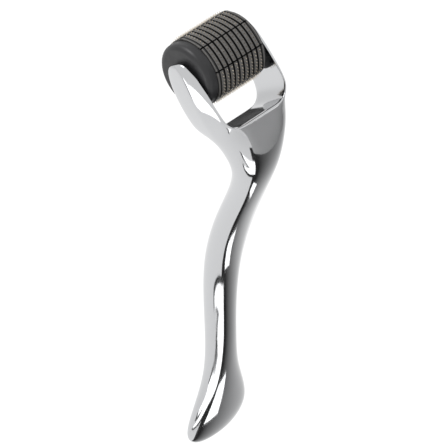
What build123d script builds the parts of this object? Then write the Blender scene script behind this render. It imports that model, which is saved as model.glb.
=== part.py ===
"""Derma roller: a chrome fork handle with a spring-pinned drum of needle strips.

Millimetres. +Z runs up the handle towards the head, +X runs along the drum's axle, and -Y is the
palm side. The origin is the middle of the grip, where the fingers close on it.
"""
import os
from math import cos, pi, radians, sin, sqrt

from build123d import *

os.makedirs("parts", exist_ok=True)

# ---- axle, head and fork --------------------------------------------------------------------
AXLE_Y = 10.4             # drum axle in front of the grip's middle
AXLE_Z = 77.8             # and above it
HEAD_TILT = 42.0          # lean of the fork from the vertical, in degrees
ARM_HALF_DEPTH = 5.9      # half of an arm's depth, also the radius of its tip
ARM_WALL = 2.25           # thickness of an arm at the axle, at mid-depth
NECK_NARROWING = 3.3      # half-width lost below the opening
WEB_NARROWING = 1.1       # half-width lost beside the opening's bottom
ARM_BULGE = 0.7           # half-width gained beside the drum
TIP_RISE = -0.4           # middle of the tip's round, up from the axle
TIP_SHIFT = 0.6           # and to the palm side of it
TIP_OVERRUN = 3.0         # blank length above the tip that the tip rounding removes
WEB_DROP = 18.6           # axle to the bottom of the opening between the arms
WEB_CORNER_R = 5.0        # rounding of that bottom's corners

# ---- grip and tail --------------------------------------------------------------------------
TAIL_Z = -68.0            # lowest point of the tail
TAIL_FAN_HALF = 11.9      # half-width of the tail's fan
TAIL_ROUND = 8.5          # height of the fan's rounded end
TAIL_SPREAD = 0.7         # how much wider than the fan its end's half-ellipse is

# ---- drum -----------------------------------------------------------------------------------
STRIP_COUNT = 8
STRIP_R = 10.5            # radius at a strip's long edges
STRIP_CROWN = 16.2        # radius of a strip's own, flatter arc
STRIP_WALL = 2.1          # radial thickness at a strip's long edges
STRIP_LENGTH = 18.2       # length of a strip along the axle
STRIP_GAP = 0.5           # gap between neighbouring strips
STRIP_PHASE = 11.0        # turn of the first gap about the axle, in degrees
RIB_COUNT = 9             # needle ribs on a strip
RIB_PITCH = 1.85
RIB_WIDTH = 1.33
GROOVE_DEPTH = 0.65       # depth of the grooves between ribs
NEEDLES_PER_RIB = 7
NEEDLE_PITCH = 1.08       # from needle to needle along a rib
NEEDLE_R = 0.13
NEEDLE_PROUD = 0.75       # needle length outside the rib
NEEDLE_POINT = 0.5        # length of the needle's taper
NEEDLE_ROOT = 0.7         # needle length moulded into the rib
NEEDLE_BLUNT_R = 0.015
CORE_CLEAR = 0.03         # strip to core
CORE_LIGHTENING_R = 1.6   # through holes that keep the core's wall even
CORE_LIGHTENING_PCR = 5.2
CORE_LIGHTENING_COUNT = 6
TONGUE_LENGTH = 0.9       # strip's tongue in the left cap, and right cap's ring in the strips
TONGUE_WALL = 0.6
TONGUE_LIFT = 0.4         # tongue above the core
TONGUE_CLEAR = 0.05

# ---- end caps -------------------------------------------------------------------------------
# The left cap is thick and has a groove; the right one is a thin plate with a tall boss and a ring.
CAP_THICK = {"left": 3.8, "right": 2.2}     # from the strips' end to the boss's face
CAP_RIM = {"left": 3.55, "right": 0.6}      # thickness outside the boss
CAP_EDGE_R = {"left": 1.6, "right": 0.2}    # rounding of the outer rim
CAP_FACE_CLEAR = 0.05     # cap to the strips' ends
CAP_BELOW_STRIP = 0.55    # rim below the strips' long edges
CAP_BOSS_R = 3.4          # boss round the axle that bears on the washer
CAP_SPIGOT_R = 3.2        # spigot that centres the cap in the core
CAP_SPIGOT_LENGTH = 1.2
CAP_SPIGOT_CLEAR = 0.03

# ---- axle parts -----------------------------------------------------------------------------
PIN_R = 0.75
PIN_RUN_CLEAR = 0.04      # pin to bush, radial
BUSH_R = 1.6
BUSH_LENGTH = 1.4
BUSH_COUNTERSINK = 0.25
PIN_NOSE = 1.1            # how far a pin stands in its bush
TUBE_R = 2.0
TUBE_BORE_R = 1.45
TUBE_LIP = 0.8            # thickness of the tube's turned-in end
TUBE_FIT = 0.02           # tube to cap and core, radial
COLLAR_R = 1.38
COLLAR_LENGTH = 1.5
PIN_TAIL_R = 0.75         # stub that keeps the spring central
PIN_TAIL_LENGTH = 1.6
PIN_ROUND = 0.35          # rounding of the nose
SPRING_R = 1.15           # coil's mean radius
SPRING_WIRE = 0.32
SPRING_TURNS = 9
SPRING_CLEAR = 0.02
WASHER_R = 2.9
WASHER_THICK = 0.3
WASHER_CLEAR = 0.1        # washer to arm

# ---- worked out from the above --------------------------------------------------------------
HALF_STRIP = STRIP_LENGTH / 2
CORE_R = STRIP_R - STRIP_WALL
TONGUE_IN_R = CORE_R + CORE_CLEAR + TONGUE_LIFT
TONGUE_OUT_R = TONGUE_IN_R + TONGUE_WALL
# the drum as a whole is central in the fork, so its strips sit off to the right
STRIPS_X = (CAP_THICK["left"] - CAP_THICK["right"]) / 2
HALF_DRUM = HALF_STRIP + CAP_FACE_CLEAR + (CAP_THICK["left"] + CAP_THICK["right"]) / 2
ARM_INNER_X = HALF_DRUM + WASHER_THICK + WASHER_CLEAR
HEAD_HALF = ARM_INNER_X + ARM_WALL
BUSH_BORE_R = PIN_R + PIN_RUN_CLEAR
COLLAR_OUTER_X = HALF_DRUM - TUBE_LIP
SPRING_HALF = COLLAR_OUTER_X - COLLAR_LENGTH
PIN_END_X = ARM_INNER_X + PIN_NOSE

UP = Vector(0, sin(radians(HEAD_TILT)), cos(radians(HEAD_TILT)))
PALM = Vector(0, -UP.Z, UP.Y)
AXLE = Vector(0, AXLE_Y, AXLE_Z)
AXLE_PLANE = Plane(origin=AXLE, x_dir=(0, 1, 0), z_dir=(1, 0, 0))


def in_fork(rise, shift):
    """A point of the fork's middle plane: up the fork from the axle, then to the palm side."""
    return AXLE + UP * rise + PALM * shift


def superellipse(half_width, half_depth, power, count=24):
    """Points of a closed outline that is squarer than an ellipse for a power above 2."""
    points = []
    for i in range(count):
        c, s = cos(2 * pi * i / count), sin(2 * pi * i / count)
        reach = (abs(c) ** power + abs(s) ** power) ** (-1 / power)
        points.append((half_width * c * reach, half_depth * s * reach))
    return points


# ---- handle ---------------------------------------------------------------------------------
# Stations from the tail to the neck: place (y, z), half-width, half-depth, squareness.
stations = [
    ((-3.8, TAIL_Z), TAIL_FAN_HALF, 1.9, 2.2),
    ((-3.9, -58.5), TAIL_FAN_HALF, 2.3, 2.2),
    ((-4.0, -49.0), 9.2, 2.6, 2.1),
    ((-3.7, -38.0), 6.4, 3.1, 2.0),
    ((-2.6, -26.0), 5.7, 3.5, 2.0),
    ((-1.0, -14.0), 5.8, 3.8, 2.0),
    ((0.0, 0.0), 6.6, 4.0, 2.0),
    ((-0.6, 12.0), 7.4, 4.2, 2.0),
    ((-3.0, 26.0), 7.7, 4.3, 2.0),
    ((-7.2, 40.5), 6.7, 4.2, 2.1),
    ((-9.2, 50.6), 7.9, 4.7, 2.3),
    ((-8.2, 57.0), 9.7, 5.6, 2.6),
]
# Stations of the fork: rise from the axle, shift to the palm, half-width, half-depth, squareness.
FORK_STATIONS = [
    (-22.1, 1.9, HEAD_HALF - NECK_NARROWING, 6.3, 3.0),
    (-15.9, 2.1, HEAD_HALF - WEB_NARROWING, 6.9, 3.4),
    (-7.2, 1.6, HEAD_HALF + ARM_BULGE, 6.6, 3.6),
    (TIP_RISE, TIP_SHIFT, HEAD_HALF, ARM_HALF_DEPTH, 3.6),
    (ARM_HALF_DEPTH + TIP_OVERRUN, TIP_SHIFT, HEAD_HALF, ARM_HALF_DEPTH, 3.6),
]
for rise, shift, half_width, half_depth, power in FORK_STATIONS:
    place = in_fork(rise, shift)
    stations.append(((place.Y, place.Z), half_width, half_depth, power))

spine = Spline([(0, y, z) for (y, z), *_ in stations], tangents=[(0, -0.04, 1), UP])

with BuildPart() as handle:
    for (y, z), half_width, half_depth, power in stations:
        way = spine.tangent_at(spine.param_at_point((0, y, z)))
        with BuildSketch(Plane(origin=(0, y, z), x_dir=(1, 0, 0), z_dir=way)):
            with BuildLine():
                Spline(superellipse(half_width, half_depth, power), periodic=True)
            make_face()
    loft()
    # the opening between the arms, cut square to the fork
    with BuildSketch(Plane(origin=AXLE, x_dir=(1, 0, 0), z_dir=PALM)):
        with Locations((0, -WEB_DROP)):
            opening = Rectangle(2 * ARM_INNER_X, 2 * WEB_DROP, align=(Align.CENTER, Align.MIN))
        fillet(opening.vertices().group_by(Axis.Y)[0], WEB_CORNER_R)
    extrude(amount=3 * ARM_HALF_DEPTH, both=True, mode=Mode.SUBTRACT)
    # the arms end in a round
    with BuildSketch(Plane(origin=in_fork(TIP_RISE, TIP_SHIFT), x_dir=PALM * -1, z_dir=(1, 0, 0))):
        with Locations((0, 2 * ARM_HALF_DEPTH)):
            Rectangle(4 * ARM_HALF_DEPTH, 4 * ARM_HALF_DEPTH)
        Circle(ARM_HALF_DEPTH, mode=Mode.SUBTRACT)
    extrude(amount=2 * HEAD_HALF, both=True, mode=Mode.SUBTRACT)
    # the tail's fan ends in a half-ellipse
    with BuildSketch(Plane.XZ):
        with Locations((0, TAIL_Z - TAIL_ROUND)):
            Rectangle(4 * TAIL_FAN_HALF, 4 * TAIL_ROUND)
        with Locations((0, TAIL_Z + TAIL_ROUND)):
            Ellipse(TAIL_FAN_HALF + TAIL_SPREAD, TAIL_ROUND, mode=Mode.SUBTRACT)
    extrude(amount=4 * TAIL_ROUND, both=True, mode=Mode.SUBTRACT)
    # blind bores for the bushes in the arms' inner faces
    for side in (-1, 1):
        bush_mouth = Plane(origin=AXLE + Vector(side * ARM_INNER_X, 0, 0), z_dir=(-side, 0, 0))
        with Locations(bush_mouth):
            Hole(BUSH_R, depth=BUSH_LENGTH)
handle.part.label = "handle"
export_step(handle.part, "parts/handle.step")


# ---- bushes in the arms ---------------------------------------------------------------------
def beside_axle(side, distance):
    """The plane across the axle, this far from the middle, facing outwards."""
    return Plane(origin=AXLE + Vector(side * distance, 0, 0), x_dir=(0, 1, 0), z_dir=(side, 0, 0))


SIDES = {"left": -1, "right": 1}

for name, side in SIDES.items():
    with BuildPart() as arm_bush:
        with BuildSketch(beside_axle(side, ARM_INNER_X)):
            Circle(BUSH_R)
            Circle(BUSH_BORE_R, mode=Mode.SUBTRACT)
        extrude(amount=BUSH_LENGTH)
        bore_edges = arm_bush.edges().filter_by(GeomType.CIRCLE).group_by(SortBy.RADIUS)[0]
        chamfer(bore_edges.sort_by(Axis.X, reverse=side < 0)[0], BUSH_COUNTERSINK)
    arm_bush.part.label = f"{name}_arm_bush"
    export_step(arm_bush.part, f"parts/{name}_arm_bush.step")


# ---- spring-loaded pivot pins, their tube and spring ----------------------------------------
for name, side in SIDES.items():
    with BuildPart() as pivot_pin:
        with BuildSketch(beside_axle(side, SPRING_HALF)):
            Circle(COLLAR_R)
        extrude(amount=COLLAR_LENGTH)
        with BuildSketch(beside_axle(side, COLLAR_OUTER_X)):
            Circle(PIN_R)
        extrude(amount=PIN_END_X - COLLAR_OUTER_X)
        fillet(pivot_pin.edges().sort_by(Axis.X, reverse=side > 0)[0], PIN_ROUND)
        with BuildSketch(beside_axle(side, SPRING_HALF)):
            Circle(PIN_TAIL_R)
        extrude(amount=-PIN_TAIL_LENGTH)
    pivot_pin.part.label = f"{name}_pivot_pin"
    export_step(pivot_pin.part, f"parts/{name}_pivot_pin.step")

with BuildPart() as axle_tube:
    with BuildSketch(AXLE_PLANE):
        Circle(TUBE_R)
    extrude(amount=HALF_DRUM, both=True)
    with BuildSketch(AXLE_PLANE):
        Circle(TUBE_BORE_R)
    extrude(amount=COLLAR_OUTER_X, both=True, mode=Mode.SUBTRACT)
    with BuildSketch(AXLE_PLANE):
        Circle(BUSH_BORE_R)
    extrude(amount=2 * HALF_DRUM, both=True, mode=Mode.SUBTRACT)
axle_tube.part.label = "axle_tube"
export_step(axle_tube.part, "parts/axle_tube.step")

COIL_HALF = SPRING_HALF - SPRING_WIRE / 2 - SPRING_CLEAR
with BuildPart() as pivot_spring:
    with BuildLine():
        coil = Helix(2 * COIL_HALF / SPRING_TURNS, 2 * COIL_HALF, SPRING_R,
                     center=AXLE - Vector(COIL_HALF, 0, 0), direction=(1, 0, 0))
    with BuildSketch(Plane(origin=coil @ 0, z_dir=coil % 0)):
        Circle(SPRING_WIRE / 2)
    sweep(path=coil, is_frenet=True)
pivot_spring.part.label = "pivot_spring"
export_step(pivot_spring.part, "parts/pivot_spring.step")


# ---- drum core ------------------------------------------------------------------------------
CORE_MIDDLE = AXLE_PLANE.offset(STRIPS_X)
CORE_END_X = {name: abs(side * HALF_STRIP + STRIPS_X) for name, side in SIDES.items()}

with BuildPart() as drum_core:
    with BuildSketch(CORE_MIDDLE):
        Circle(CORE_R)
        Circle(TUBE_R + TUBE_FIT, mode=Mode.SUBTRACT)
        with PolarLocations(CORE_LIGHTENING_PCR, CORE_LIGHTENING_COUNT):
            Circle(CORE_LIGHTENING_R, mode=Mode.SUBTRACT)
    extrude(amount=HALF_STRIP, both=True)
    for name, side in SIDES.items():
        with BuildSketch(beside_axle(side, CORE_END_X[name])):
            Circle(CAP_SPIGOT_R + CAP_SPIGOT_CLEAR)
        extrude(amount=-CAP_SPIGOT_LENGTH - CAP_SPIGOT_CLEAR, mode=Mode.SUBTRACT)
drum_core.part.label = "drum_core"
export_step(drum_core.part, "parts/drum_core.step")


# ---- end caps and thrust washers ------------------------------------------------------------
for name, side in SIDES.items():
    inner_face = beside_axle(side, HALF_DRUM - CAP_THICK[name])
    with BuildPart() as end_cap:
        with BuildSketch(inner_face):
            Circle(STRIP_R - CAP_BELOW_STRIP)
        extrude(amount=CAP_RIM[name])
        fillet(end_cap.edges().sort_by(Axis.X, reverse=side > 0)[0], CAP_EDGE_R[name])
        with BuildSketch(inner_face):
            Circle(CAP_BOSS_R)
        extrude(amount=CAP_THICK[name])
        with BuildSketch(inner_face):
            Circle(CAP_SPIGOT_R)
        extrude(amount=-CAP_FACE_CLEAR - CAP_SPIGOT_LENGTH)
        if name == "left":
            with BuildSketch(inner_face):
                Circle(TONGUE_OUT_R + TONGUE_CLEAR)
                Circle(TONGUE_IN_R - TONGUE_CLEAR, mode=Mode.SUBTRACT)
            extrude(amount=TONGUE_LENGTH, mode=Mode.SUBTRACT)
        else:
            with BuildSketch(inner_face):
                Circle(TONGUE_OUT_R)
                Circle(TONGUE_IN_R, mode=Mode.SUBTRACT)
            extrude(amount=-TONGUE_LENGTH)
        with BuildSketch(AXLE_PLANE):
            Circle(TUBE_R + TUBE_FIT)
        extrude(amount=2 * HALF_DRUM, both=True, mode=Mode.SUBTRACT)
    end_cap.part.label = f"{name}_end_cap"
    export_step(end_cap.part, f"parts/{name}_end_cap.step")

    with BuildPart() as thrust_washer:
        with BuildSketch(beside_axle(side, HALF_DRUM)):
            Circle(WASHER_R)
            Circle(BUSH_BORE_R, mode=Mode.SUBTRACT)
        extrude(amount=WASHER_THICK)
    thrust_washer.part.label = f"{name}_thrust_washer"
    export_step(thrust_washer.part, f"parts/{name}_thrust_washer.step")


# ---- needle strips --------------------------------------------------------------------------
SECTOR = 360 / STRIP_COUNT
HALF_SPAN = radians(SECTOR / 2) - STRIP_GAP / 2 / STRIP_R
CROWN_DROP = sqrt(STRIP_CROWN**2 - (STRIP_R * sin(HALF_SPAN))**2) - STRIP_R * cos(HALF_SPAN)
REACH = 2 * STRIP_R         # blanks run out this far before they are cut back
FLANGE = (STRIP_LENGTH - RIB_COUNT * RIB_PITCH) / 2


def strip_axes(index):
    """A plane on the axle whose X points out through one strip's middle and whose Z is the axle."""
    turn = radians(STRIP_PHASE + SECTOR * (index + 0.5))
    return Plane(origin=CORE_MIDDLE.origin, x_dir=(0, cos(turn), sin(turn)), z_dir=(1, 0, 0))


def rib_middle(rib):
    """Place of one rib's middle along the axle, from the strip's middle."""
    return (rib - (RIB_COUNT - 1) / 2) * RIB_PITCH


for index in range(STRIP_COUNT):
    axes = strip_axes(index)
    crown = Plane(origin=axes.origin - axes.x_dir * CROWN_DROP, x_dir=axes.x_dir, z_dir=axes.z_dir)
    with BuildPart() as needle_strip:
        with BuildSketch(crown):
            Circle(STRIP_CROWN - GROOVE_DEPTH)
        extrude(amount=HALF_STRIP, both=True)
        for side in SIDES.values():
            with BuildSketch(crown.offset(side * HALF_STRIP)):
                Circle(STRIP_CROWN)
            extrude(amount=-side * FLANGE)
        for rib in range(RIB_COUNT):
            with BuildSketch(crown.offset(rib_middle(rib) - RIB_WIDTH / 2)):
                Circle(STRIP_CROWN)
            extrude(amount=RIB_WIDTH)
        with BuildSketch(axes.offset(-HALF_STRIP)):
            Circle(TONGUE_OUT_R)
            Circle(TONGUE_IN_R, mode=Mode.SUBTRACT)
        extrude(amount=-TONGUE_LENGTH + TONGUE_CLEAR)
        with BuildSketch(axes.offset(HALF_STRIP)):
            Circle(TONGUE_OUT_R + TONGUE_CLEAR)
            Circle(TONGUE_IN_R - TONGUE_CLEAR, mode=Mode.SUBTRACT)
        extrude(amount=-TONGUE_LENGTH, mode=Mode.SUBTRACT)
        with BuildSketch(axes):
            with BuildLine():
                edge = (REACH * cos(HALF_SPAN), REACH * sin(HALF_SPAN))
                Polyline((0, 0), edge, (edge[0], -edge[1]), close=True)
            make_face()
        extrude(amount=STRIP_LENGTH, both=True, mode=Mode.INTERSECT)
        with BuildSketch(axes):
            Circle(CORE_R + CORE_CLEAR)
        extrude(amount=STRIP_LENGTH, both=True, mode=Mode.SUBTRACT)
    needle_strip.part.label = f"needle_strip_{index + 1}"
    export_step(needle_strip.part, f"parts/needle_strip_{index + 1}.step")


# ---- needles --------------------------------------------------------------------------------
with BuildPart() as needle:
    with BuildSketch(Plane.XZ):
        shoulder = NEEDLE_PROUD - NEEDLE_POINT
        outline = [
            (0, -NEEDLE_ROOT), (NEEDLE_R, -NEEDLE_ROOT), (NEEDLE_R, shoulder),
            (NEEDLE_BLUNT_R, NEEDLE_PROUD), (0, NEEDLE_PROUD)]
        with BuildLine():
            Polyline(*outline, close=True)
        make_face()
    revolve(axis=Axis.Z)

for index in range(STRIP_COUNT):
    axes = strip_axes(index)
    across = axes.z_dir.cross(axes.x_dir)
    centre = axes.origin - axes.x_dir * CROWN_DROP
    places = []
    for rib in range(RIB_COUNT):
        for row in range(NEEDLES_PER_RIB):
            swing = (row - (NEEDLES_PER_RIB - 1) / 2) * NEEDLE_PITCH / STRIP_CROWN
            out = axes.x_dir * cos(swing) + across * sin(swing)
            foot = centre + out * STRIP_CROWN + axes.z_dir * rib_middle(rib)
            places.append(Plane(origin=foot, z_dir=out))
    with BuildPart() as needles:
        with Locations(*places):
            add(needle.part)
    needles.part.label = f"needles_{index + 1}"
    export_step(needles.part, f"parts/needles_{index + 1}.step")
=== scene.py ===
"""Derma roller: builds the polished handle, dresses the drum and sets the stage."""

from math import atan2, cos, pi, radians, sin

import bmesh
import bpy
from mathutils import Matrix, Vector


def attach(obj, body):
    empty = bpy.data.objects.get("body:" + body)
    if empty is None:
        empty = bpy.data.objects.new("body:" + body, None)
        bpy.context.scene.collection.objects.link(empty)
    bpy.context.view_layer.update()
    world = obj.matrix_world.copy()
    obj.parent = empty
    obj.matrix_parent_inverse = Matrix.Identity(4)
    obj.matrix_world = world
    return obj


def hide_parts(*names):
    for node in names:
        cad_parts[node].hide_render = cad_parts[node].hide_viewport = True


bl_info = {
    "name": "Derma Roller",
    "version": (1, 0, 0),
    "blender": (4, 2, 0),
    "location": "3D View > Sidebar > Roller",
    "description": "Builds a polished skin roller with a drum of needle strips",
    "category": "Object",
}

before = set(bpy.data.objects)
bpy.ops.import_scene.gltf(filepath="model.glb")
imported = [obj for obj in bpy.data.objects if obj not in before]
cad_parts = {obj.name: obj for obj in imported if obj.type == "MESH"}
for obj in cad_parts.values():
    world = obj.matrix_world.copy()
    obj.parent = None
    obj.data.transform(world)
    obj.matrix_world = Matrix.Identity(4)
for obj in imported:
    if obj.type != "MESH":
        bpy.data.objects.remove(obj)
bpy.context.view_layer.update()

MM = 0.001
STRIPS = [f"needle_strip_{i}" for i in range(1, 9)]
NEEDLES = [f"needles_{i}" for i in range(1, 9)]
AXLE_Y, AXLE_Z = 10.4, 77.8
FORK_TILT = radians(42)
STRIPS_X, RIB_PITCH = 0.8, 1.85


# ---- node writing ----------------------------------------------------------------------------
class Value:
    """A socket's output that plain arithmetic can be done with."""

    def __init__(self, finish, socket):
        self.finish, self.socket = finish, socket

    def maths(self, operation, first, second):
        return self.finish.maths(operation, first, second)

    def __add__(self, other):
        return self.maths("ADD", self, other)

    def __sub__(self, other):
        return self.maths("SUBTRACT", self, other)

    def __rsub__(self, other):
        return self.maths("SUBTRACT", other, self)

    def __mul__(self, other):
        return self.maths("MULTIPLY", self, other)

    __radd__ = __add__
    __rmul__ = __mul__


class Finish:
    """A material with one Principled shader, and the nodes that vary it."""

    def __init__(self, name, colour, roughness, metallic=0.0):
        self.material = bpy.data.materials.new(name)
        self.material.use_nodes = True
        self.tree = self.material.node_tree
        self.shader = next(n for n in self.tree.nodes if n.type == "BSDF_PRINCIPLED")
        self.material.diffuse_color = (*colour, 1)
        sockets = {"Base Color": (*colour, 1), "Roughness": roughness, "Metallic": metallic}
        for socket, value in sockets.items():
            self.shader.inputs[socket].default_value = value
        coordinates = self.tree.nodes.new("ShaderNodeTexCoord")
        self.place = Value(self, coordinates.outputs["Object"])

    def put(self, socket, value):
        """Links a value into a socket, or sets the socket to a number."""
        if isinstance(value, Value):
            self.tree.links.new(value.socket, socket)
        else:
            socket.default_value = value

    def node(self, kind, settings=None, inputs=None, output=0):
        """Adds a node: settings first, then what goes into its sockets."""
        node = self.tree.nodes.new(kind)
        for name, value in (settings or {}).items():
            setattr(node, name, value)
        for name, value in (inputs or {}).items():
            self.put(node.inputs[name], value)
        return Value(self, node.outputs[output])

    def maths(self, operation, first, second):
        return self.node("ShaderNodeMath", {"operation": operation}, {0: first, 1: second})

    def stretched(self, scale):
        """Object coordinates scaled unevenly."""
        return self.node("ShaderNodeMapping", {}, {"Vector": self.place, "Scale": scale})

    def noise(self, scale, detail=3.0, place=None):
        inputs = {"Vector": place or self.place, "Scale": scale, "Detail": detail}
        return self.node("ShaderNodeTexNoise", {}, inputs)

    def ramp(self, value, low, high, start=0.0, end=1.0):
        """Runs from low to high as the value goes from start to end."""
        settings = {"clamp": True}
        inputs = {"Value": value, "From Min": start, "From Max": end, "To Min": low, "To Max": high}
        return self.node("ShaderNodeMapRange", settings, inputs)

    def between(self, factor, first, second):
        """Mixes two colours."""
        inputs = {0: factor, 6: (*first, 1), 7: (*second, 1)}
        return self.node("ShaderNodeMix", {"data_type": "RGBA"}, inputs, output=2)

    def tint(self, factor, first, second):
        """Mixes a colour and a varying colour."""
        inputs = {0: factor, 6: (*first, 1), 7: second}
        return self.node("ShaderNodeMix", {"data_type": "RGBA"}, inputs, output=2)

    def parts(self, vector, axis):
        return self.node("ShaderNodeSeparateXYZ", {}, {0: vector}, output=axis)

    def distance_from_axle(self):
        """How far a point is from the drum's axle, in metres."""
        y, z = self.parts(self.place, 1) - AXLE_Y * MM, self.parts(self.place, 2) - AXLE_Z * MM
        return self.node("ShaderNodeMath", {"operation": "SQRT"}, {0: y * y + z * z})

    def feed(self, **sockets):
        """Links values into the shader, with spaces in socket names written as underscores."""
        for name, value in sockets.items():
            self.put(self.shader.inputs[name.replace("_", " ")], value)

    def bump(self, height, strength, distance):
        inputs = {"Height": height, "Strength": strength, "Distance": distance}
        self.feed(Normal=self.node("ShaderNodeBump", {}, inputs))

    def on(self, *pieces):
        for piece in pieces:
            piece.data.materials.clear()
            piece.data.materials.append(self.material)


# ---- sizes and colours -----------------------------------------------------------------------
class HandleSettings(bpy.types.PropertyGroup):
    """Smoothness and plating of the handle."""

    smoothness: bpy.props.IntProperty(
        name="Smoothness", description="Subdivision steps of the handle", default=3, min=1, max=4)
    plating: bpy.props.FloatVectorProperty(
        name="Plating", description="Colour of the plating", subtype="COLOR", size=3,
        default=(0.55, 0.555, 0.565), min=0, max=1)


class DrumSettings(bpy.types.PropertyGroup):
    """Colours of the drum's pieces."""

    cap_colour: bpy.props.FloatVectorProperty(
        name="Caps", description="Colour of the end caps", subtype="COLOR", size=3,
        default=(0.013, 0.013, 0.0145), min=0, max=1)
    strip_colour: bpy.props.FloatVectorProperty(
        name="Strips", description="Colour of the needle strips", subtype="COLOR", size=3,
        default=(0.05, 0.048, 0.046), min=0, max=1)
    needle_colour: bpy.props.FloatVectorProperty(
        name="Needles", description="Colour of the needles", subtype="COLOR", size=3,
        default=(0.62, 0.55, 0.45), min=0, max=1)


class StageSettings(bpy.types.PropertyGroup):
    """Floor and light."""

    floor_colour: bpy.props.FloatVectorProperty(
        name="Floor", description="Colour of the floor", subtype="COLOR", size=3,
        default=(0.93, 0.93, 0.93), min=0, max=1)
    brightness: bpy.props.FloatProperty(
        name="Brightness", description="Strength of the room's light", default=1.0, min=0.1, max=5)


# ---- the handle ------------------------------------------------------------------------------
# Stations from the tail to the neck: place (y, z), half-width, half-depth, squareness.
GRIP = [
    ((-3.8, -67.8), 6.2, 1.4, 2.0),
    ((-3.8, -66.4), 9.4, 2.1, 2.0),
    ((-3.8, -62.6), 12.2, 2.8, 2.0),
    ((-3.9, -57.0), 12.4, 3.1, 2.0),
    ((-4.0, -48.0), 9.6, 3.1, 2.0),
    ((-3.7, -38.0), 6.4, 3.1, 2.0),
    ((-2.6, -26.0), 5.7, 3.5, 2.0),
    ((-1.0, -14.0), 5.8, 3.8, 2.0),
    ((0.0, 0.0), 6.6, 4.0, 2.0),
    ((-0.6, 12.0), 7.4, 4.2, 2.0),
    ((-3.0, 26.0), 7.7, 4.3, 2.0),
    ((-7.2, 40.5), 6.7, 4.2, 2.1),
    ((-9.2, 50.6), 7.9, 4.7, 2.3),
    ((-8.2, 57.0), 9.6, 5.6, 2.6),
]
# The head below the opening: rise, shift to the palm, half-width, half-depth, squareness,
# then how far out the two inner columns of the cage stand.
NECK = [
    (-22.6, 1.9, 11.3, 6.3, 3.0, 8.2, 3.2),
    (-18.6, 2.1, 12.8, 6.9, 3.4, 9.6, 5.0),
]
# An arm: rise, shift, inner and outer half-width, half-depth, then its outer side: half-width at
# the front and at the back, and how far to the palm the ridge between them lies.
ARM = [
    (-15.8, 2.1, 12.1, 14.2, 6.95, 12.9, 12.9, 1.2),
    (-12.0, 1.9, 12.62, 15.0, 6.9, 13.4, 13.9, 1.6),
    (-7.0, 1.4, 12.62, 15.6, 6.5, 13.6, 14.6, 2.4),
    (-1.5, 0.7, 12.62, 15.3, 5.95, 13.6, 14.4, 3.2),
    (2.6, 0.6, 12.62, 15.0, 4.9, 13.6, 14.2, 2.6),
    (4.9, 0.6, 12.7, 14.5, 2.9, 13.7, 14.0, 1.0),
]
COLUMN_ANGLES = (0.0, 2 * pi / 14, 4 * pi / 14, 6 * pi / 14)
CAGE_SWELL = 1.034        # the cage stands off the smoothed surface by this much
ARM_SECTION_POINTS = 12   # points of a section through both arms
SAME_PLACE = 0.01         # millimetres within which points are in line
RIM_CREASE, RIDGE_CREASE = 0.55, 0.8
RIM_SHIFT, RIM_REACH = 2, 3         # the rim is this far to either side of this shift
RIM_OUTER, RIDGE_INNER = 12.9, 12.5
RIDGE_SHIFTS = (1.5, 4.6)


def spread(angle, power):
    """A point of a unit outline that is squarer than a circle for a power above 2."""
    c, s = cos(angle), sin(angle)
    reach = (abs(c) ** power + abs(s) ** power) ** (-1 / power)
    return c * reach * CAGE_SWELL, s * reach * CAGE_SWELL


def in_fork(rise, shift):
    up = Vector((0, sin(FORK_TILT), cos(FORK_TILT)))
    palm = Vector((0, -up.z, up.y))
    return Vector((0, AXLE_Y, AXLE_Z)) + up * rise + palm * shift


def turn(angle, centre):
    """Turns what is selected about X, so that +Z swings towards +Y for a positive angle."""
    if abs(angle) > 1e-6:
        bpy.ops.transform.rotate(
            value=angle, orient_axis="X", orient_type="GLOBAL", center_override=centre * MM)


def select_verts(obj, indices):
    """Selects these vertices, and the edges and faces between them, and nothing else."""
    bpy.ops.mesh.select_all(action="DESELECT")
    mesh = bmesh.from_edit_mesh(obj.data)
    mesh.verts.ensure_lookup_table()
    for i in indices:
        mesh.verts[i].select_set(True)
    mesh.select_flush(True)
    bmesh.update_edit_mesh(obj.data)


def shape_cap(obj, centre, targets):
    """Scales the selected, level cap column by column. Targets, from the outermost column in:
    x and y of the column's outer rows, and x of its middle row."""
    mesh = bmesh.from_edit_mesh(obj.data)
    cap = [v for v in mesh.verts if v.select]
    everything = [v.index for v in cap]
    outer_rows = [v for v in cap if abs(v.co.y / MM - centre.y) > SAME_PLACE]
    levels = sorted({round(abs(v.co.x) / MM, 4) for v in outer_rows}, reverse=True)
    groups = {}
    for v in cap:
        x, y = abs(v.co.x) / MM, abs(v.co.y / MM - centre.y)
        column = min(range(len(levels)), key=lambda k: abs(levels[k] - x)) if y > SAME_PLACE else None
        groups.setdefault(column, []).append((v.index, x, y))
    middle = sorted(groups.pop(None), key=lambda item: -item[1])
    for column, members in groups.items():
        x, y, _ = targets[column]
        select_verts(obj, [m[0] for m in members])
        value = (x / members[0][1], y / members[0][2], 1)
        bpy.ops.transform.resize(value=value, center_override=centre * MM)
    for column, (_, _, x) in enumerate(targets):
        pair = middle[2 * column:2 * column + 2]
        select_verts(obj, [m[0] for m in pair])
        bpy.ops.transform.resize(value=(x / pair[0][1], 1, 1), center_override=centre * MM)
    select_verts(obj, everything)


def how_wide(vert):
    return abs(vert.co.x)


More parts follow.
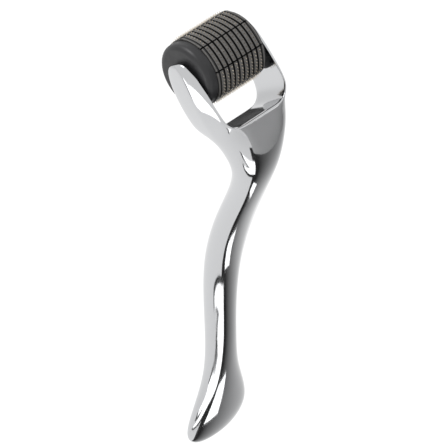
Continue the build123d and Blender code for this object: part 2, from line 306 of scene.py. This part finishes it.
def straighten(obj, centre):
    """Puts a level arm section's outer side back in a line: its ridge in the middle row and its
    front and back as wide as the ridge."""
    everything = [v.index for v in bmesh.from_edit_mesh(obj.data).verts if v.select]
    if len(everything) != ARM_SECTION_POINTS:
        return
    for sign in (-1, 1):
        mesh = bmesh.from_edit_mesh(obj.data)
        mesh.verts.ensure_lookup_table()
        cap = [mesh.verts[i] for i in everything]
        arm = sorted((v for v in cap if v.co.x * sign > 0), key=lambda v: v.co.y)
        widest = max(arm, key=how_wide).co.x
        ridge = max(arm[2:-2], key=how_wide)
        shift, ridge = centre.y * MM - ridge.co.y, ridge.index
        outers = [max(row, key=how_wide) for row in (arm[:2], arm[-2:])]
        for index, scale in [(v.index, widest / v.co.x) for v in outers]:
            select_verts(obj, [index])
            bpy.ops.transform.resize(value=(scale, 1, 1), center_override=centre * MM)
        select_verts(obj, [ridge])
        bpy.ops.transform.translate(value=(0, shift, 0))
    select_verts(obj, everything)


def shape_side(obj, centre, outer, front, back, ridge):
    """Slants the outer side of a level arm section: it is widest along a ridge."""
    mesh = bmesh.from_edit_mesh(obj.data)
    everything = [v for v in mesh.verts if v.select]
    widest = max(how_wide(v) for v in everything)
    side = [v for v in everything if how_wide(v) > widest - SAME_PLACE * MM]
    rows = {-1: [], 0: [], 1: []}
    for v in side:
        y = v.co.y - centre.y * MM
        rows[0 if abs(y) < SAME_PLACE * MM else (1 if y > 0 else -1)].append(v.index)
    everything = [v.index for v in everything]
    for row, x in ((-1, front), (1, back)):
        select_verts(obj, rows[row])
        bpy.ops.transform.resize(value=(x / outer, 1, 1), center_override=centre * MM)
    select_verts(obj, rows[0])
    bpy.ops.transform.translate(value=(0, -ridge * MM, 0))
    select_verts(obj, everything)


def crease(obj, test, amount):
    """Sharpens the edges that pass the test."""
    bpy.ops.mesh.select_mode(type="EDGE")
    bpy.ops.mesh.select_all(action="DESELECT")
    mesh = bmesh.from_edit_mesh(obj.data)
    for edge in mesh.edges:
        if test(edge):
            edge.select_set(True)
    bmesh.update_edit_mesh(obj.data)
    bpy.ops.transform.edge_crease(value=amount)
    bpy.ops.mesh.select_mode(type="VERT")


def fork_place(co):
    """Rise up the fork from the axle and shift to the palm side, in millimetres."""
    up, palm = in_fork(1, 0) - in_fork(0, 0), in_fork(0, 1) - in_fork(0, 0)
    arm = co / MM - in_fork(0, 0)
    return arm.dot(up), arm.dot(palm)


class ROLLER_OT_handle(bpy.types.Operator):
    """Draws the handle out of a flat grid, station by station, and splits it into two arms"""

    bl_idname = "roller.handle"
    bl_label = "Handle"

    def execute(self, context):
        settings = context.scene.roller_handle
        stations = [(Vector((0, *place)), self.outline(*size)) for place, *size in GRIP]
        for rise, shift, half_width, half_depth, power, outer, inner in NECK:
            rows = self.outline(half_width, half_depth, power)
            deep = half_depth * CAGE_SWELL
            rows[1:] = [(outer, deep, outer), (inner, deep, inner)]
            stations.append((in_fork(rise, shift), rows))
        places = [place for place, _ in stations]
        tilts = [0.0]
        for before, after in zip(places, places[2:]):
            tilts.append(atan2(after.y - before.y, after.z - before.z))
        tilts.append(FORK_TILT)

        bpy.ops.object.select_all(action="DESELECT")
        bpy.ops.mesh.primitive_grid_add(
            x_subdivisions=5, y_subdivisions=2, size=2 * MM, location=(0, 0, 0))
        handle = context.object
        handle.name = handle.data.name = "chrome_handle"
        bpy.ops.object.mode_set(mode="EDIT")
        bpy.ops.mesh.select_all(action="SELECT")
        bpy.ops.transform.translate(value=places[0] * MM)
        shape_cap(handle, places[0], stations[0][1])
        for i in range(1, len(stations)):
            self.draw_out(handle, places[i - 1], places[i], tilts[i - 1], tilts[i], stations[i][1])
        self.select_arm_roots(handle)
        place = places[-1]
        for rise, shift, inner, outer, half_depth, *side in ARM:
            deep = half_depth * CAGE_SWELL
            targets = [(outer, deep, outer), (inner, deep, inner)]
            self.draw_out(handle, place, in_fork(rise, shift), FORK_TILT, FORK_TILT, targets, side)
            place = in_fork(rise, shift)
        bpy.ops.mesh.select_all(action="SELECT")
        bpy.ops.mesh.normals_make_consistent(inside=False)
        crease(handle, self.on_rim, RIM_CREASE)
        crease(handle, self.on_ridge, RIDGE_CREASE)
        bpy.ops.object.mode_set(mode="OBJECT")
        smooth = handle.modifiers.new("Smooth", "SUBSURF")
        smooth.levels = smooth.render_levels = settings.smoothness
        bpy.ops.object.modifier_apply(modifier=smooth.name)
        bpy.ops.object.shade_smooth()

        chrome = Finish("polished_chrome", settings.plating, 0.07, 1.0)
        smudge = chrome.noise(90, 4)
        chrome.feed(Roughness=chrome.ramp(smudge, 0.05, 0.11, 0.35, 0.75))
        chrome.bump(chrome.noise(45, 2), 0.04, 0.002)
        chrome.on(handle)
        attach(handle, "handle")
        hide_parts("handle")
        return {"FINISHED"}

    @staticmethod
    def outline(half_width, half_depth, power):
        """The three columns of a section: x and y of the outer rows, and x of the middle row."""
        points = [spread(angle, power) for angle in COLUMN_ANGLES]
        rows = [(half_width * x, half_depth * y, half_width * x) for x, y in points[1:]]
        rows[0] = (rows[0][0], rows[0][1], half_width * points[0][0])
        return rows

    @staticmethod
    def draw_out(handle, start, end, tilt_before, tilt, targets, side=None):
        """Extrudes the selected cap to the next station, levels it, shapes it and tilts it."""
        bpy.ops.mesh.extrude_region_move(TRANSFORM_OT_translate={"value": (end - start) * MM})
        turn(-tilt_before, end)
        straighten(handle, end)
        shape_cap(handle, end, targets)
        if side:
            shape_side(handle, end, targets[0][0], *side)
        turn(tilt, end)

    @staticmethod
    def select_arm_roots(handle):
        """Selects the outermost column of faces at each side of the neck's top."""
        mesh = bmesh.from_edit_mesh(handle.data)
        top = [f for f in mesh.faces if f.select]
        edge = sorted({round(abs(f.calc_center_median().x), 6) for f in top})[-1]
        outer = [f for f in top if abs(abs(f.calc_center_median().x) - edge) < SAME_PLACE * MM]
        select_verts(handle, [v.index for f in outer for v in f.verts])

    @staticmethod
    def on_rim(edge):
        """Tells an edge that runs round the opening, on the palm's or the knuckles' side."""
        for v in edge.verts:
            rise, shift = fork_place(v.co)
            in_middle = abs(shift - RIM_SHIFT) < RIM_REACH
            if rise < NECK[-1][0] - 0.1 or in_middle or how_wide(v) > RIM_OUTER * MM:
                return False
        return True

    @staticmethod
    def on_ridge(edge):
        """Tells an edge that runs along an arm's ridge."""
        ends = sorted(fork_place(v.co) for v in edge.verts)
        along = ends[1][0] - ends[0][0] > 1
        outside = all(how_wide(v) > RIDGE_INNER * MM for v in edge.verts)
        near = all(RIDGE_SHIFTS[0] < shift < RIDGE_SHIFTS[1] for _, shift in ends)
        return along and outside and near and ends[0][0] > NECK[-1][0] - 0.1


# ---- the drum --------------------------------------------------------------------------------
class ROLLER_OT_drum(bpy.types.Operator):
    """Gives the drum's pieces their plastics and metals, and paints shade into the needle strips'
    grooves
    """

    bl_idname = "roller.drum"
    bl_label = "Drum"

    def execute(self, context):
        settings = context.scene.roller_drum
        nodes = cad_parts

        cap = Finish("satin_black_plastic", settings.cap_colour, 0.42)
        cap.feed(Roughness=cap.ramp(cap.noise(400, 4), 0.36, 0.5, 0.3, 0.7))
        cap.bump(cap.noise(2500, 2), 0.15, 0.0001)
        cap.on(nodes["left_end_cap"], nodes["right_end_cap"], nodes["drum_core"])

        strip = Finish("moulded_strip_plastic", settings.strip_colour, 0.4)
        # Painted shade: the masks below mark the rib crowns, and everything lower than the crowns or
        # between the ribs is painted near-black as groove shade.
        radius = strip.distance_from_axle() + strip.noise(900, 3) * 0.06 * MM
        outside = strip.ramp(radius, 0, 1, 9.95 * MM, 10.15 * MM)
        ribs = (strip.parts(strip.place, 0) - STRIPS_X * MM) * (1 / RIB_PITCH / MM) + 20.5
        ribs = strip.maths("FRACT", ribs, 0) - 0.5
        ribs = strip.ramp(strip.maths("ABSOLUTE", ribs, 0), 1, 0, 0.26, 0.33)
        crown_not_painted_shade = outside * ribs
        dusty = tuple(3 * c for c in settings.strip_colour)
        dull = strip.between(strip.noise(1100, 4), settings.strip_colour, dusty)
        # Painted shade: the grooves are painted near-black (0.004), and the crowns keep the strip's
        # speckled colour.
        strip.feed(Base_Color=strip.tint(crown_not_painted_shade, (0.004, 0.004, 0.004), dull))
        strip.feed(Roughness=strip.ramp(strip.noise(500, 3), 0.3, 0.5, 0.3, 0.7))
        strip.bump(strip.noise(3000, 2), 0.15, 0.0001)
        strip.on(*(nodes[name] for name in STRIPS))

        needle = Finish("needle_steel", settings.needle_colour, 0.3, 1.0)
        needle.feed(Roughness=needle.ramp(needle.noise(3000, 2), 0.22, 0.4))
        needle.on(*(nodes[name] for name in NEEDLES))
        return {"FINISHED"}


class ROLLER_OT_axle(bpy.types.Operator):
    """Gives the pins, tube, spring, bushes and washers their finishes"""

    bl_idname = "roller.axle"
    bl_label = "Axle parts"

    def execute(self, context):
        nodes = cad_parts
        steel = Finish("turned_steel", (0.6, 0.6, 0.61), 0.3, 1.0)
        steel.feed(Roughness=steel.ramp(steel.noise(60, 3, steel.stretched((60, 1, 1))), 0.22, 0.42))
        steel.on(*(nodes[n] for n in ("left_pivot_pin", "right_pivot_pin", "axle_tube", "pivot_spring")))
        bronze = Finish("bush_bronze", (0.62, 0.46, 0.24), 0.34, 1.0)
        bronze.feed(Roughness=bronze.ramp(bronze.noise(800, 3), 0.28, 0.45))
        bronze.on(nodes["left_arm_bush"], nodes["right_arm_bush"])
        washer = Finish("washer_plastic", (0.55, 0.55, 0.53), 0.45)
        washer.feed(Roughness=washer.ramp(washer.noise(900, 3), 0.4, 0.55))
        washer.on(nodes["left_thrust_washer"], nodes["right_thrust_washer"])
        return {"FINISHED"}


# ---- stage -----------------------------------------------------------------------------------
CAMERA_PLACE = Vector((-558.39, -475.56, 749.48))
CAMERA_TURN = (45.001, -4.087, -45.464)
CAMERA_LENS, CAMERA_SENSOR = 284.95, 36
CAMERA_CLIP = (0.05, 50)
FLOOR_Z = -0.3
FLOOR_SIZE = 12
GLOW = 2.5
LAMP_PLACE, LAMP_TURN = (-0.3, 0.5, 0.9), (radians(-30), radians(-15), 0)
LAMP_SIZE, LAMP_POWER = 0.5, 4
QUARTER_LEVEL = 3         # millimetres over the floor
# Corners of boards on the floor: heading in degrees, from the palm side towards the left, and
# distance from the handle in millimetres.
LIGHT_STRIP = [(-10, 286), (31, 290), (31, 315), (4, 345), (24, 390), (31, 470), (-15, 470), (-17, 290)]
DARK_LINE = [(-16, 270), (37, 270), (38, 315), (14, 345), (32, 390), (37, 490), (-17, 490), (-17, 280)]
WEB_SHADE = [(-150, 640), (-134, 640), (-136, 900), (-148, 900)]


def stage_board(board, finish):
    """Stages a board that only mirror reflections see."""
    finish.on(board)
    board.visible_camera = board.visible_diffuse = board.visible_shadow = False


def dress_board(board, name, shade, glow, fade=None):
    """Gives a board its shade or glow. With a fade it runs from its shade to that along its X."""
    board.name = name
    finish = Finish(name, (shade, shade, shade), 0.9)
    finish.shader.inputs["Emission Color"].default_value = (1, 1, 1, 1)
    finish.shader.inputs["Emission Strength"].default_value = glow
    if fade is not None:
        along = finish.parts(finish.place, 0) + 0.5
        finish.feed(Base_Color=finish.between(along, (shade,) * 3, (fade,) * 3))
    stage_board(board, finish)


def card(name, centre, size, towards, shade=0.0, glow=0.0, fade=None):
    """A flat board facing a point. The plating mirrors it, dark by its shade or bright by its glow."""
    facing = (Vector(towards) - Vector(centre)).to_track_quat("Z", "Y").to_euler()
    bpy.ops.mesh.primitive_plane_add(size=1, location=Vector(centre) * MM, rotation=facing)
    board = bpy.context.object
    board.scale = (size[0] * MM, size[1] * MM, 1)
    dress_board(board, name, shade, glow, fade)


def floor_card(name, corners, shade=0.0, glow=0.0, level=4):
    """A board lying on the floor between corners, its level in millimetres over the floor."""
    bpy.ops.mesh.primitive_circle_add(
        vertices=len(corners), radius=0.1, fill_type="NGON", location=(0, 0, FLOOR_Z + level * MM))
    board = bpy.context.object
    bpy.ops.object.mode_set(mode="EDIT")
    for i, (heading, distance) in enumerate(corners):
        a = radians(heading)
        place = Vector((-sin(a), -cos(a), 0)) * distance * MM
        select_verts(board, [i])
        move = place - bmesh.from_edit_mesh(board.data).verts[i].co
        bpy.ops.transform.translate(value=move)
    bpy.ops.object.mode_set(mode="OBJECT")
    dress_board(board, name, shade, glow)


def shade_quarter(heading, side, dark, pale):
    """A square board on the floor with a corner under the handle, dark along the edge that has
    this heading and paler with the angle from it."""
    a = radians(heading)
    place = (0, 0, FLOOR_Z + QUARTER_LEVEL * MM)
    bpy.ops.mesh.primitive_plane_add(size=1, location=place, rotation=(0, 0, -a))
    board = bpy.context.object
    bpy.ops.object.mode_set(mode="EDIT")
    bpy.ops.mesh.select_all(action="SELECT")
    bpy.ops.transform.translate(value=(0.5, -0.5, 0), orient_type="LOCAL")
    bpy.ops.object.mode_set(mode="OBJECT")
    board.scale = (side * MM, side * MM, 1)
    board.name = "grip_shade"
    finish = Finish("grip_shade", (dark,) * 3, 0.9)
    angle = finish.node(
        "ShaderNodeMath", {"operation": "ARCTAN2"},
        {0: finish.parts(finish.place, 0), 1: 0 - finish.parts(finish.place, 1)})
    turned = finish.ramp(angle, 0, 1, 0.3, pi / 2)
    finish.feed(Base_Color=finish.between(turned, (dark,) * 3, (pale,) * 3))
    stage_board(board, finish)


class ROLLER_OT_stage(bpy.types.Operator):
    """Sets the floor, the soft lights and the camera"""

    bl_idname = "roller.stage"
    bl_label = "Stage"

    def execute(self, context):
        settings = context.scene.roller_stage
        bpy.ops.object.select_all(action="DESELECT")
        bpy.ops.mesh.primitive_plane_add(size=FLOOR_SIZE, location=(0, 0, FLOOR_Z))
        floor = context.object
        floor.name = "floor"
        Finish("floor", settings.floor_colour, 0.8).on(floor)

        world = bpy.data.worlds.new("studio")
        context.scene.world = world
        world.use_nodes = True
        background = world.node_tree.nodes["Background"]
        background.inputs["Color"].default_value = (1, 1, 1, 1)
        background.inputs["Strength"].default_value = settings.brightness

        context.scene.view_settings.view_transform = "Standard"
        floor_card("grip_light", LIGHT_STRIP, glow=GLOW, level=7)
        floor_card("grip_line", DARK_LINE, shade=0.01)
        card("tail_light", (60, -105, -171), (40, 30), (0, -4, -56), glow=GLOW)
        shade_quarter(-8, 900, 0.008, 0.8)
        card("palm_shade", (330, -420, 80), (420, 660), (0, 0, 70), shade=0.22, fade=0.5)
        floor_card("web_dark", WEB_SHADE, shade=0.005, level=5)
        card("palm_glint", (229, -288, 229), (30, 45), (5, 0, 65), glow=3)
        card("arm_light", (-500, -20, -20), (220, 260), (0, 10, 78), glow=GLOW)
        card("arm_shade", (-480, 140, -90), (60, 120), (0, 10, 78), shade=0.01)
        bpy.ops.object.light_add(type="AREA", location=LAMP_PLACE, rotation=LAMP_TURN)
        context.object.data.size = LAMP_SIZE
        context.object.data.energy = LAMP_POWER

        camera_turn = [radians(a) for a in CAMERA_TURN]
        bpy.ops.object.camera_add(location=CAMERA_PLACE * MM, rotation=camera_turn)
        camera = context.object
        camera.data.sensor_width = CAMERA_SENSOR
        camera.data.lens = CAMERA_LENS
        camera.data.clip_start, camera.data.clip_end = CAMERA_CLIP
        context.scene.camera = camera
        return {"FINISHED"}


class ROLLER_PT_panel(bpy.types.Panel):
    """The roller's pieces and their settings"""

    bl_idname = "ROLLER_PT_panel"
    bl_label = "Derma roller"
    bl_space_type = "VIEW_3D"
    bl_region_type = "UI"
    bl_category = "Roller"

    def draw(self, context):
        for settings, operator in PANEL_ROWS:
            box = self.layout.box()
            if settings:
                group = getattr(context.scene, settings)
                for name in group.__annotations__:
                    box.prop(group, name)
            box.operator(operator)


PANEL_ROWS = (
    ("roller_handle", "roller.handle"), ("roller_drum", "roller.drum"),
    ("", "roller.axle"), ("roller_stage", "roller.stage"))
GROUPS = {"roller_handle": HandleSettings, "roller_drum": DrumSettings, "roller_stage": StageSettings}
CLASSES = (
    *GROUPS.values(), ROLLER_OT_handle, ROLLER_OT_drum, ROLLER_OT_axle, ROLLER_OT_stage,
    ROLLER_PT_panel)


def register():
    for item in CLASSES:
        bpy.utils.register_class(item)
    for name, group in GROUPS.items():
        setattr(bpy.types.Scene, name, bpy.props.PointerProperty(type=group))


def unregister():
    for name in GROUPS:
        delattr(bpy.types.Scene, name)
    for item in reversed(CLASSES):
        bpy.utils.unregister_class(item)


def main():
    register()
    bpy.ops.roller.handle()
    bpy.ops.roller.drum()
    bpy.ops.roller.axle()
    bpy.ops.roller.stage()
    bpy.context.view_layer.update()


if __name__ == "__main__":
    main()
